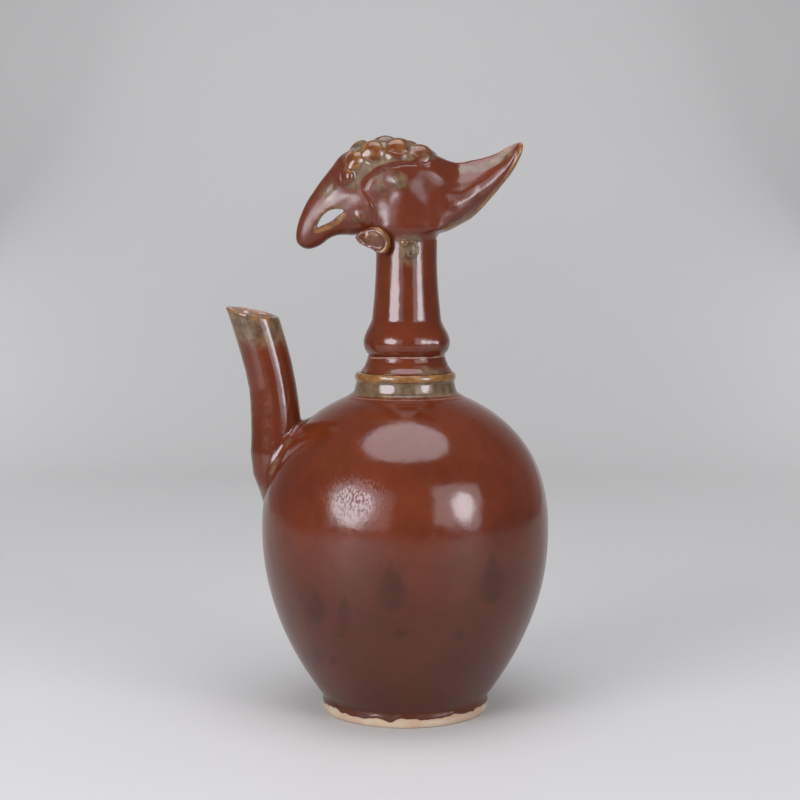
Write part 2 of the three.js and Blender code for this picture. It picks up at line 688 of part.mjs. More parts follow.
place("foot", makeFoot(), "bareClay");
place("body_lower", makeBodyLower(), "brownGlaze");
place("body_upper", makeBodyUpper(), "brownGlaze");
place("shoulder_collar", makeCollar(), "oliveGlaze");
place("neck_moulding", makeMoulding(), "brownGlaze");
place("neck_tube", makeNeck(), "brownGlaze");
placePair("head", makeHeadLeft(), "brownGlaze");

const [beakUpper, beakLower] = makeBeak();
place("beak_upper", beakUpper, "brownGlaze");
place("beak_lower", beakLower, "brownGlaze");

leftLobeShares.forEach((shares, i) => place(`crest_lobe_left_${i + 1}`, makeLobe(shares), "amberGlaze"));
rightLobeShares.forEach((shares, i) => place(`crest_lobe_right_${i + 1}`, mirrored(makeLobe(shares)), "amberGlaze"));

placePair("eye", makeEye(), "oliveGlaze");
placePair("cheek_pellet", makeCheekPellet(), "oliveGlaze");
placePair("wattle", makeWattle(), "amberGlaze");
placePair("throat_scroll", makeScroll(), "oliveGlaze");

place("spout", makeSpout(), "brownGlaze");
place("spout_fillet", makeSpoutFillet(), "oliveGlaze");

export default ewer;
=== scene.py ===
"""Bird-headed ewer in poured iron glaze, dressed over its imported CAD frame.

Laid out as an add-on and run as a script. Each operator makes one piece, or one group of like pieces,
and main calls them in order. Lengths in the tables are millimetres; Blender's own are metres.
"""

import math

import bmesh
import bpy
import numpy as np
from bpy.props import FloatProperty, FloatVectorProperty, PointerProperty
from bpy.types import Operator, Panel, PropertyGroup
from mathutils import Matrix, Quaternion, Vector, noise
from mathutils.bvhtree import BVHTree


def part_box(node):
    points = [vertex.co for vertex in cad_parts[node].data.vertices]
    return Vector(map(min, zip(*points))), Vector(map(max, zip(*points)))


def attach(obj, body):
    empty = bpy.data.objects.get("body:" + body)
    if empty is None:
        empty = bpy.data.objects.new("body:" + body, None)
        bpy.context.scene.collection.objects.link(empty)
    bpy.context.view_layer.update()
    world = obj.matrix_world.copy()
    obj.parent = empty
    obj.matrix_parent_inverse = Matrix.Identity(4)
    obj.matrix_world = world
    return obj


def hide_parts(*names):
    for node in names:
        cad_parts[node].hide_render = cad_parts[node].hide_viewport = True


bl_info = {
    "name": "Bird-headed ewer",
    "version": (1, 0, 0),
    "blender": (4, 5, 0),
    "location": "3D View > Sidebar > Ewer",
    "description": "Glazes a packed ewer and sets it on a pale studio floor",
    "category": "Object",
}

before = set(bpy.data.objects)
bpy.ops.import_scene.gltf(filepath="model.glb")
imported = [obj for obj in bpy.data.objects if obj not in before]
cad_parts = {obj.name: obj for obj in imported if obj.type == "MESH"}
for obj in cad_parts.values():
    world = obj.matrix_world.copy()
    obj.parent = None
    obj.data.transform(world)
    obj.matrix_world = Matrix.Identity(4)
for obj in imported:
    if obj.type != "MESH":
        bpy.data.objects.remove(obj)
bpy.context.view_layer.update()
MM = 0.001

# Lines on the near side of the head, as (x, z) in millimetres. The far side mirrors them.
PLUME_TOP = [(22.4, 307.5), (30.1, 305.4), (41.6, 307.5), (51.5, 310.8), (58, 314.3), (62.9, 317.3)]
PLUME_KEEL = [
    (17.5, 265.7), (24.7, 268.1), (32.4, 272.3), (40.1, 278), (47.7, 286.2), (53.8, 292.8), (58.1, 299.3),
    (61.7, 305.3), (64.1, 312.4), (64.6, 315.1),
]
CREST_BASE = [
    (-25, 289), (-23.8, 293.2), (-21.1, 296), (-16.9, 300.1), (-12.4, 302.5), (-6.5, 303.6), (1.8, 304.2),
    (13.4, 304.4),
]
FACE_GROOVE = [
    (-17.8, 266.5), (-17.6, 269.2), (-17, 272.6), (-16.6, 277.9), (-17.3, 282.2), (-18.6, 284.3),
    (-20.5, 287), (-22, 289.7), (-21.6, 291.8), (-19.3, 295.3), (-15.9, 298.7), (-11.7, 301.1),
    (-6.5, 302.4), (-1.7, 303.3), (5.3, 303.6), (12.3, 303.3),
]
FACE_ROLL = [
    (-20.2, 267), (-19.9, 270.5), (-19.4, 275), (-19.3, 279.5), (-20.4, 283.5), (-22.9, 286.8),
    (-24.3, 290.2), (-23.6, 293.3), (-20.8, 297), (-17.2, 300.2), (-12.5, 302.6),
]
LOWER_LIP = [(-49, 267.3), (-45.2, 268.4), (-41.3, 269.8), (-36.9, 272.2), (-33.6, 276.6)]
UPPER_LIP = [(-49.8, 268.7), (-48.4, 271.6), (-46.3, 275.3), (-42.9, 278.4), (-39, 279.7), (-34, 279.7)]
PLUME_STRIP = [(31, 301), (36, 301), (42, 302.2), (50, 305.6), (57, 310.4)]
# Places on it, as (x, z)
EYE, SOCKET, CHEEK, MOUTH_CORNER, BRIDGE = (-2.4, 294), (-8, 293.5), (-25.3, 275.5), (-36, 278), (-42, 288)
# The crest's broad scallops on each flank: middle in x and z, and reach
SCALLOPS = [(-32.6, 296.6, 5.2), (-28.6, 306, 5.9), (-18, 310.8, 6.6), (-4.8, 311.6, 6.9), (8.8, 308.8, 6.4)]
HEAD_NODES = ["head_left", "head_right", "beak_upper", "beak_lower"]
LOBE_NODES = [f"crest_lobe_{side}_{i}" for side in ("left", "right") for i in range(1, 6)]
PELLET_NODES = [f"{name}_{side}" for name in ("eye", "cheek_pellet") for side in ("left", "right")]
# The neck's moulding as (radius, height over the neck's root), and the height of the joint in its groove
MOULDING = [
    (25.6, 0.1), (25.2, 0.9), (24.3, 2.1), (23.1, 3.9), (22.3, 5.7), (21.8, 7.4), (21.4, 8.8), (21.35, 9.6),
    (22.2, 11), (23.4, 13.2), (23.95, 15.8), (23.8, 18.3), (22.9, 21.2), (21.6, 24), (20.4, 26.3),
]
NECK_JOINT = 9.9


def linear(code):
    """A #rrggbb colour turned from sRGB to linear RGBA."""
    parts = [int(code[i : i + 2], 16) / 255 for i in (1, 3, 5)]
    return [c / 12.92 if c <= 0.04045 else ((c + 0.055) / 1.055) ** 2.4 for c in parts] + [1.0]


def rise(value, low, high):
    """0 below low, 1 above high, and a smooth rise between them."""
    t = np.clip((value - low) / (high - low), 0, 1)
    return t * t * (3 - 2 * t)


def fall(value, low, high):
    """1 below low, 0 above high, and a smooth fall between them."""
    return 1 - rise(value, low, high)


def peak(off, width):
    """1 where off is 0, fading to nothing on both sides over about that width."""
    return np.exp(-((off / width) ** 2))


def near_spot(x, z, spot):
    """How far each (x, z) lies from one place."""
    return np.hypot(x - spot[0], z - spot[1])


def near_line(x, z, line):
    """How far each (x, z) lies from a row of points."""
    best = np.full(len(x), 1e9)
    for (ax, az), (bx, bz) in zip(line, line[1:]):
        dx, dz = bx - ax, bz - az
        t = np.clip(((x - ax) * dx + (z - az) * dz) / (dx**2 + dz**2), 0, 1)
        best = np.minimum(best, np.hypot(x - ax - t * dx, z - az - t * dz))
    return best


def smooth_row(points, gap):
    """A smooth row (Catmull-Rom) through the points, evenly spaced at about that gap."""
    p = np.array([points[0], *points, points[-1]], float)
    fine = []
    for i in range(1, len(p) - 2):
        t = np.linspace(0, 1, 24, endpoint=False)[:, None]
        fine.append(
            0.5 * (2 * p[i] + (p[i + 1] - p[i - 1]) * t
            + (2 * p[i - 1] - 5 * p[i] + 4 * p[i + 1] - p[i + 2]) * t**2
            + (3 * p[i] - p[i - 1] - 3 * p[i + 1] + p[i + 2]) * t**3)
        )
    return even_row(np.vstack([*fine, p[-1:]]), gap)


def even_row(points, gap):
    """The same row of points, spaced at about that gap."""
    p = np.array(points, float)
    along = np.concatenate([[0], np.cumsum(np.linalg.norm(np.diff(p, axis=0), axis=1))])
    at = np.linspace(0, along[-1], max(2, round(along[-1] / gap) + 1))
    return np.column_stack([np.interp(at, along, p[:, k]) for k in range(p.shape[1])])


def spun(profile, steps=192):
    """A closed solid: a profile of (radius, height), from axis to axis or meeting itself, spun round."""
    bm = bmesh.new()
    verts = [bm.verts.new((r * MM, 0, z * MM)) for r, z in profile]
    edges = [bm.edges.new(pair) for pair in zip(verts, verts[1:])]
    bmesh.ops.spin(
        bm, geom=verts + edges, cent=(0, 0, 0), axis=(0, 0, 1), angle=math.tau, steps=steps, use_merge=True
    )
    bmesh.ops.remove_doubles(bm, verts=bm.verts, dist=1e-6)
    bmesh.ops.recalc_face_normals(bm, faces=bm.faces)
    return bm


def as_mesh(bm, name):
    """The mesh of a bmesh, which is freed."""
    mesh = bpy.data.meshes.new(name)
    bm.to_mesh(mesh)
    bm.free()
    return mesh


def placed(name, data):
    """A new object with that data, in the scene."""
    obj = bpy.data.objects.new(name, data)
    bpy.context.scene.collection.objects.link(obj)
    return obj


def piece(name, mesh, material, nodes):
    """Shows the mesh, in its material, in place of those CAD nodes."""
    mesh.name = name
    mesh.shade_smooth()
    mesh.materials.append(material)
    obj = placed(name, mesh)
    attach(obj, "root")
    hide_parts(*nodes)


def baked(data, modifiers=()):
    """The mesh that a curve or a mesh gives once its modifiers are applied. Each is (type, settings)."""
    obj = placed("raw", data)
    for kind, settings in modifiers:
        modifier = obj.modifiers.new(kind.lower(), kind)
        for key, value in settings.items():
            setattr(modifier, key, value)
    mesh = bpy.data.meshes.new_from_object(obj.evaluated_get(bpy.context.evaluated_depsgraph_get()))
    bpy.data.objects.remove(obj)
    return mesh


def add_copy(bm, nodes, grow=0.0, toward=None, spread=1.0):
    """Adds closed copies of CAD nodes, each swollen by that many millimetres.

    toward gives the way from a place to the seat: the copy then grows only on that side, into what it sits
    on, and spread widens it over the seat."""
    for node in nodes:
        part = bmesh.new()
        part.from_mesh(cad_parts[node].data)
        bmesh.ops.remove_doubles(part, verts=part.verts, dist=1e-6)
        part.normal_update()
        for v, push in [(v, v.normal.copy()) for v in part.verts]:
            share = 1 if toward is None else max(0, push.dot(toward(v.co / MM).normalized()))
            v.co += push * share * grow * MM
        if spread != 1:
            middle = sum((v.co for v in part.verts), Vector()) / len(part.verts)
            out = toward(middle / MM).normalized()
            for v in part.verts:
                across = (v.co - middle) - out * out.dot(v.co - middle)
                v.co += across * (spread - 1)
        bm.from_mesh(as_mesh(part, node))


def body_radius(z):
    """Radius of the thrown body at each height, in millimetres, as the CAD solids have it."""
    foot_radius, crown_rise = 45.7, 81
    low, middle = (corner.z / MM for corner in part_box("body_lower"))
    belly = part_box("body_lower")[1].x / MM
    z = np.asarray(z, float)
    under = belly - (belly - foot_radius) * np.clip((middle - z) / (middle - low), 0, 1) ** 2.08
    over = belly * np.clip(1 - np.clip((z - middle) / crown_rise, 0, 1) ** 2.39, 0, 1) ** (1 / 1.83)
    return np.where(z < middle, under, over)


def softened(places, edges, rounds, share):
    """The places after so many rounds of smoothing, as strong as share (0 to 1) at each vertex."""
    count = np.maximum(np.bincount(edges.ravel(), minlength=len(places)), 1)[:, None]
    out = places.copy()
    a, b = edges[:, 0], edges[:, 1]
    for _ in range(rounds):
        total = np.column_stack([
            np.bincount(a, out[b, k], len(out)) + np.bincount(b, out[a, k], len(out)) for k in range(3)
        ])
        out += (total / count - out) * share[:, None] / 2
    return out


def closed(co, normals, edges, where, reach, keep):
    """Fills the narrow hollows between bumps, as glaze and slip do, where the mask says so.

    reach is the width of a hollow in edges of the mesh, and keep the share of its depth that stays."""
    level = softened(co, edges, 60, where)
    out = softened(normals, edges, 20, np.ones(len(co)))
    out /= np.linalg.norm(out, axis=1)[:, None]
    height = ((co - level) * out).sum(1)
    filled = height.copy()
    for pick in (np.maximum, np.minimum):
        for _ in range(reach):
            before = filled.copy()
            pick.at(filled, edges[:, 0], before[edges[:, 1]])
            pick.at(filled, edges[:, 1], before[edges[:, 0]])
    return co + out * ((filled - height) * where * (1 - keep))[:, None]


def melted(bm, voxel, rounds):
    """The solids run together as clay does under glaze: remeshed at that voxel size, then smoothed."""
    remesh = ("REMESH", {"mode": "VOXEL", "voxel_size": voxel})
    return baked(as_mesh(bm, "raw"), [remesh, ("SMOOTH", {"factor": 0.5, "iterations": rounds})])


def rolled(bm, points, radius, ends=0.35):
    """Adds a rolled cord of clay through the points (in millimetres), thinner at its ends."""
    curve = bpy.data.curves.new("roll", "CURVE")
    curve.dimensions = "3D"
    curve.bevel_depth = radius * MM
    curve.bevel_resolution = 3
    curve.use_fill_caps = True
    spline = curve.splines.new("POLY")
    spline.points.add(len(points) - 1)
    for i, (point, place) in enumerate(zip(spline.points, points)):
        point.co = (*(Vector(place) * MM), 1)
        t = i / (len(points) - 1)
        point.radius = ends + (1 - ends) * min(1, 5 * min(t, 1 - t))
    bm.from_mesh(baked(curve))


def arrays(mesh):
    """Vertex places and normals in millimetres, and the edges, as arrays."""
    co = np.zeros(len(mesh.vertices) * 3)
    mesh.vertices.foreach_get("co", co)
    normals = np.zeros(len(mesh.vertices) * 3)
    mesh.vertices.foreach_get("normal", normals)
    edges = np.zeros(len(mesh.edges) * 2, int)
    mesh.edges.foreach_get("vertices", edges)
    return co.reshape(-1, 3) / MM, normals.reshape(-1, 3), edges.reshape(-1, 2)


def around(co):
    """Each vertex's turn about the upright axis, distance from it, and place on a ring of radius 1."""
    turn = np.arctan2(co[:, 1], co[:, 0])
    return turn, np.hypot(co[:, 0], co[:, 1]), np.column_stack([np.cos(turn), np.sin(turn), 0 * turn])


def facing_out(co, normals, middle):
    """Whether each vertex is on an outer surface, which faces away from that middle."""
    return ((co - middle) * normals).sum(1) > 0


def move(mesh, places):
    """Puts the vertices at those places, in millimetres."""
    mesh.vertices.foreach_set("co", (places * MM).astype(np.float32).ravel())
    mesh.update()


def paint(mesh, **masks):
    """Stores each mask, 0 to 1 at each vertex or all over, as an attribute that the glaze reads."""
    for name, values in masks.items():
        values = np.broadcast_to(np.clip(values, 0, 1), len(mesh.vertices)).astype(np.float32)
        mesh.attributes.new(name, "FLOAT", "POINT").data.foreach_set("value", values)


def swells(places, width, seed):
    """Smooth noise from -1 to 1 at places in millimetres, with swells about that wide."""
    shift = Vector((seed * 7.3, seed * 3.1, seed * 5.7))
    return np.array([noise.noise(Vector(p) / width + shift) for p in places])


def add(tree, kind, inputs=None, out=0, **settings):
    """Adds a node with its settings and gives one of its outputs.

    A socket given as an input is linked, and any other value is set."""
    node = tree.nodes.new(kind)
    for name, value in settings.items():
        setattr(node, name, value)
    for name, value in (inputs or {}).items():
        if isinstance(value, bpy.types.NodeSocket):
            tree.links.new(value, node.inputs[name])
        else:
            node.inputs[name].default_value = value
    return node.outputs[out] if node.outputs else node


def start(name):
    """A new material with an empty tree, and the place on the object."""
    material = bpy.data.materials.new(name)
    material.use_nodes = True
    material.node_tree.nodes.clear()
    return material, material.node_tree, add(material.node_tree, "ShaderNodeTexCoord", out="Object")


def noisy(tree, where, width, detail=2.0, **more):
    """Noise with swells about that many metres wide."""
    return add(tree, "ShaderNodeTexNoise", {"Vector": where, "Scale": 1 / width, "Detail": detail, **more})


def ramp(tree, value, low, high, to_low=0.0, to_high=1.0, **settings):
    """The value's range from low to high, brought to the one from to_low to to_high."""
    ends = {"From Min": low, "From Max": high, "To Min": to_low, "To Max": to_high}
    return add(tree, "ShaderNodeMapRange", {"Value": value, **ends}, **settings)


def blend(tree, share, first, second, **settings):
    """The first colour, going over to the second by that share."""
    return add(tree, "ShaderNodeMix", {0: share, 6: first, 7: second}, 2, data_type="RGBA", **settings)


def bump(tree, height, strength, distance, **more):
    """Relief of that distance, in metres, drawn in the light only."""
    return add(tree, "ShaderNodeBump", {"Height": height, "Strength": strength, "Distance": distance, **more})


def painted(tree, mask):
    """The mask of that name which paint stored on the mesh."""
    return add(tree, "ShaderNodeAttribute", {}, "Fac", attribute_name=mask)


def shaded(tree, inputs):
    """Ends the tree in one shader with those inputs."""
    add(tree, "ShaderNodeOutputMaterial", {"Surface": add(tree, "ShaderNodeBsdfPrincipled", inputs)})


def iron_glaze():
    """Iron-brown ash glaze, poured and fired: a glassy coat that is red-brown where thick, olive where it
    pools over slip and amber where it thins on edges. It gives the eye a deep colour under a slightly pitted
    gloss. All glazed pieces share it."""
    name = "Iron-brown ash glaze, poured"
    if name in bpy.data.materials:
        return bpy.data.materials[name]
    colours = bpy.context.scene.ewer_colours
    material, tree, where = start(name)
    # Clouds about 30 mm wide, runs about 9 mm wide that are drawn out down the pot, and iron flecks
    cloud = noisy(tree, where, 30 * MM, 4.0, Roughness=0.6)
    tall = add(tree, "ShaderNodeMapping", {"Vector": where, "Scale": (1.0, 1.0, 0.28)})
    runs = noisy(tree, tall, 9 * MM, 3.0)
    fleck = noisy(tree, where, 0.7 * MM)
    brown = blend(tree, ramp(tree, cloud, 0.35, 0.66), colours.iron_deep, colours.iron)
    brown = blend(tree, ramp(tree, runs, 0.45, 0.8, 0.0, 0.35), brown, colours.iron_deep)
    # Dark flames, where the pour ran thick, are painted on the belly, along with painted shade low on the body
    # and on the wattles. Cycles keeps the name flame for smoke.
    brown = blend(tree, painted(tree, "thick_run"), brown, colours.flame)
    brown = blend(tree, 1.0, brown, ramp(tree, fleck, 0.3, 0.45, 0.72), blend_type="MULTIPLY")
    # Olive pools are grey-green and cream in patches about 5 mm wide, and amber edges vary with them
    patches = noisy(tree, where, 5 * MM, 4.0, Roughness=0.6)
    pool = ramp(tree, patches, 0.36, 0.68)
    olive = blend(tree, pool, colours.olive, colours.olive_pale)
    amber = blend(tree, pool, colours.amber, colours.amber_bright)
    # The same patches make the edges of the painted masks ragged
    stray = add(tree, "ShaderNodeMath", {0: patches, 1: 0.5}, operation="SUBTRACT")
    masks = {}
    for mask, ragged in (("olive", 0.8), ("amber", 0.5), ("slip", 0.5)):
        value = {0: stray, 1: ragged, 2: painted(tree, mask)}
        value = add(tree, "ShaderNodeMath", value, operation="MULTIPLY_ADD")
        masks[mask] = ramp(tree, value, 0.1, 0.9, interpolation_type="SMOOTHSTEP")
    colour = blend(tree, masks["olive"], brown, olive)
    # Pale slip along the neck's joint; the same pale colour is also a painted highlight at the collar's foot
    # and a painted reflection inside the spout's lip
    colour = blend(tree, masks["slip"], colour, colours.slip)
    colour = blend(tree, masks["amber"], colour, amber)
    # Slow waves left by the potter's hands, and orange peel that is stronger in some clouds
    peel = noisy(tree, where, bpy.context.scene.ewer_sizes.peel)
    normal = bump(tree, noisy(tree, where, 14 * MM), 1.0, 0.22 * MM)
    normal = bump(tree, peel, ramp(tree, cloud, 0.38, 0.6, 0.25), 0.03 * MM, Normal=normal)
    # Where the glaze is pitted, matt crystals about 0.9 mm wide and 2.5 mm tall break up its gloss
    drawn = add(tree, "ShaderNodeMapping", {"Vector": where, "Scale": (1.0, 1.0, 0.36)})
    pits = ramp(tree, noisy(tree, drawn, 0.9 * MM, Roughness=0.6), 0.45, 0.57, 0.0, 0.45)
    rough = ramp(tree, patches, 0.3, 0.7, 0.09, 0.17)
    for matt, share in ((painted(tree, "pitted"), pits), (painted(tree, "satin"), 0.22)):
        rough = add(tree, "ShaderNodeMath", {0: matt, 1: share, 2: rough}, operation="MULTIPLY_ADD")
    rough = add(tree, "ShaderNodeMix", {0: masks["olive"], 2: rough, 3: 0.1})
    shaded(tree, {"Base Color": colour, "Roughness": rough, "IOR": 1.47, "Normal": normal})
    return material


def bare_clay():
    """Buff stoneware, turned and left unglazed: matt and sandy, with fine turning lines, iron specks and a
    pinkish flush where the glaze ends."""
    colours = bpy.context.scene.ewer_colours
    material, tree, where = start("Buff stoneware, turned and unglazed")
    sand = noisy(tree, where, 1.1 * MM, 5.0, Roughness=0.7)
    flat = add(tree, "ShaderNodeMapping", {"Vector": where, "Scale": (0.05, 0.05, 1.0)})
    rings = {"Vector": where, "Scale": 1 / (12 * MM), "Distortion": 1.5, "Detail": 2.0}
    rings = add(tree, "ShaderNodeTexWave", rings, wave_type="RINGS", rings_direction="Z")
    height = add(tree, "ShaderNodeSeparateXYZ", {"Vector": where}, "Z")
    cloudy = ramp(tree, noisy(tree, where, 12 * MM, 3.0), 0.35, 0.7)
    colour = blend(tree, cloudy, colours.clay, colours.clay_flush)
    colour = blend(tree, ramp(tree, height, 3 * MM, 6.2 * MM, 0.0, 0.75), colour, colours.clay_flush)
    colour = blend(tree, 1.0, colour, ramp(tree, sand, 0.28, 0.42, 0.6), blend_type="MULTIPLY")
    normal = bump(tree, noisy(tree, flat, 0.6 * MM), 0.7, 0.2 * MM)
    normal = bump(tree, rings, 0.3, 0.3 * MM, Normal=normal)
    normal = bump(tree, sand, 0.8, 0.15 * MM, Normal=normal)
    shaded(tree, {"Base Color": colour, "Roughness": 0.85, "Normal": normal})
    return material


def painted_board():
    """Matt painted board: it gives the eye a plain, pale and faintly mottled floor and backdrop."""
    material, tree, where = start("Matt painted board")
    mottle = ramp(tree, noisy(tree, where, 0.4), 0.0, 1.0, 0.97, 1.03)
    colour = blend(tree, 1.0, bpy.context.scene.ewer_colours.floor, mottle, blend_type="MULTIPLY")
    shaded(tree, {"Base Color": colour, "Roughness": 0.55})
    return material


def length(name, description, default):
    """A length that the panel shows."""
    return FloatProperty(name=name, description=description, default=default, unit="LENGTH")


def swatch(name, description, code):
    """A colour that the panel shows."""
    default = linear(code)
    return FloatVectorProperty(name=name, description=description, subtype="COLOR", size=4, default=default)


class EwerSizes(PropertyGroup):
    """Sizes of the glaze and of the studio."""

    glaze_edge: length("Glaze edge", "Height on the foot at which the glaze stops", 4.9 * MM)
    drip: length("Glaze drip", "How far the glaze edge wanders up and down", 1.3 * MM)
    glaze_coat: length("Glaze coat", "How far the glaze stands proud of the foot", 0.35 * MM)
    melt: length("Melt", "Finest detail kept where pieces run together under the glaze", 0.72 * MM)
    peel: length("Orange peel", "Width of the small swells in the glaze", 1.0 * MM)
    groove: length("Groove", "Depth of the lines pressed into the head", 0.6 * MM)
    wall: length("Wall", "Thickness of the thrown body", 4.4 * MM)
    lamp_distance: length("Lamp distance", "From the ewer to the middle of each softbox", 1.3)


class EwerColours(PropertyGroup):
    """Colours of the glazes, clay and floor."""

    iron: swatch("Iron glaze", "Red-brown glaze", "#5c2813")
    iron_deep: swatch("Deep iron glaze", "Glaze where it lies thick", "#4e200d")
    # The flame colour is also used for the painted shade low on the body and on the wattles
    flame: swatch("Flame", "Darkest runs on the belly", "#331204")
    olive: swatch("Olive glaze", "Grey-green glaze where it pools", "#493a29")
    olive_pale: swatch("Pale olive glaze", "Cream streaks in the olive", "#6c563f")
    amber: swatch("Amber glaze", "Glaze thinned on edges", "#644121")
    amber_bright: swatch("Bright amber glaze", "Thinnest glaze, on rims", "#866034")
    # The slip colour is also used for painted highlights at the collar's foot and inside the spout's lip
    slip: swatch("Pale slip", "Slip that shows along joints", "#8a6d5d")
    clay: swatch("Clay", "Bare clay of the foot", "#ad9c84")
    clay_flush: swatch("Clay flush", "Warmer clay beside the glaze", "#a68a71")
    floor: swatch("Floor", "Pale studio floor", "#b8b7b3")


class EWER_OT_stage(Operator):
    """Make the floor, backdrop, softboxes, world and camera"""

    bl_idname = "ewer.stage"
    bl_label = "Stage"

    # Softboxes: shape, azimuth from the camera's side, elevation, roll, width, height (degrees) and radiance
    SOFTBOXES = [
        ("softbox_left", "RECTANGLE", -38, 14.5, 0, 51, 32, 1.4),
        ("softbox_left_core", "ELLIPSE", -43, 15, 0, 34, 29, 9.2),
        ("softbox_right", "RECTANGLE", 43.5, 15, -10, 39, 32, 2.8),
        ("softbox_right_core", "ELLIPSE", 47, 13, 0, 19, 22, 8.4),
        ("softbox_over", "ELLIPSE", 0, 79, 0, 54, 43, 3.4),
        ("fill_back_left", "RECTANGLE", -132, 14, 0, 46, 34, 1.7),
        ("fill_back_right", "RECTANGLE", 132, 14, 0, 46, 34, 1.7),
    ]

    def execute(self, context):
        self.floor()
        for box in self.SOFTBOXES:
            self.softbox(context, *box)
        self.world(context)
        self.camera(context)
        return {"FINISHED"}

    def floor(self):
        """The floor, from behind the camera to where it bends up and becomes the backdrop."""
        front, bend_start, radius, height, half_width = -4.5, 0.9, 0.5, 2.6, 2.6
        turns = np.linspace(0, math.pi / 2, 17)
        bend = [(bend_start + radius * math.sin(a), radius - radius * math.cos(a)) for a in turns]
        bm = bmesh.new()
        row = [(front, 0.0), *bend, (bend_start + radius, height)]
        verts = [bm.verts.new((-half_width, y, z)) for y, z in row]
        edges = [bm.edges.new(pair) for pair in zip(verts, verts[1:])]
        swept = bmesh.ops.extrude_edge_only(bm, edges=edges)["geom"]
        across = [v for v in swept if isinstance(v, bmesh.types.BMVert)]
        bmesh.ops.translate(bm, verts=across, vec=(2 * half_width, 0, 0))
        bmesh.ops.recalc_face_normals(bm, faces=bm.faces)
        mesh = as_mesh(bm, "studio_floor")
        mesh.shade_smooth()
        mesh.materials.append(painted_board())
        floor = placed("studio_floor", mesh)

    def softbox(self, context, name, shape, azimuth, elevation, roll, width, height, radiance):
        """One softbox, facing the middle of the ewer. A core hangs just in front of its softbox."""
        a, e = math.radians(azimuth), math.radians(elevation)
        away = Vector((math.sin(a) * math.cos(e), -math.cos(a) * math.cos(e), math.sin(e)))
        reach = context.scene.ewer_sizes.lamp_distance - (0.02 if name.endswith("core") else 0)
        lamp = bpy.data.lights.new(name, "AREA")
        lamp.shape = shape
        lamp.size = 2 * reach * math.tan(math.radians(width / 2))
        lamp.size_y = 2 * reach * math.tan(math.radians(height / 2))
        lamp.energy = radiance * math.pi * lamp.size * lamp.size_y
        lamp.color = linear("#f8f7ff")[:3]
        obj = placed(name, lamp)
        # The fills behind the ewer show in no reflection, as the photograph has none on the shoulders
        obj.visible_glossy = not name.startswith("fill")
        obj.location = Vector((0, 0, 160 * MM)) + away * reach
        turn = (-away).to_track_quat("-Z", "Y") @ Quaternion((0, 0, 1), math.radians(roll))
        obj.rotation_euler = turn.to_euler()

    def world(self, context):
        """Dim, cool light from all round, and plain colours."""
        world = bpy.data.worlds.new("studio")
        world.use_nodes = True
        background = world.node_tree.nodes["Background"]
        background.inputs["Color"].default_value = linear("#aeb4bd")
        background.inputs["Strength"].default_value = 0.38
        context.scene.world = world
        context.scene.view_settings.view_transform = "Standard"

    def camera(self, context):
        """The photograph's viewing angle: 5.7 degrees down, from just left of the axis."""
        camera = bpy.data.cameras.new("camera")
        camera.sensor_width = 36
        camera.lens = 76.4
        obj = placed("camera", camera)
        obj.location = (-2.94 * MM, -940.8 * MM, 267.8 * MM)
        obj.rotation_euler = (math.radians(84.3), 0, 0)
        context.scene.camera = obj


class EWER_OT_foot(Operator):
    """Make the turned clay foot"""

    bl_idname = "ewer.foot"
    bl_label = "Foot"

    def execute(self, context):
        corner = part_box("foot")[1]
        r, top = corner.x / MM, corner.z / MM
        flat = r - 1.3
        side = smooth_row(
            [(flat, 0.0), (r - 0.45, 0.25), (r - 0.08, 1.1), (r, 2.4), (r - 0.2, 5), (r - 0.5, top)], 0.4
        )
        under = even_row([(0, 0.0), (flat, 0.0)], 3)[:-1]
        mesh = as_mesh(spun([*under, *side, (0, top)]), "foot")
        # Turned by hand, so a little out of round
        co = arrays(mesh)[0]
        out = np.hypot(co[:, 0], co[:, 1]) / r
        co[:, :2] *= (1 - 0.0035 * rise(out, 0.9, 1) * (1 + swells(co, 9, 1)))[:, None]
        move(mesh, co)
        piece("foot_ring", mesh, bare_clay(), ["foot"])
        return {"FINISHED"}


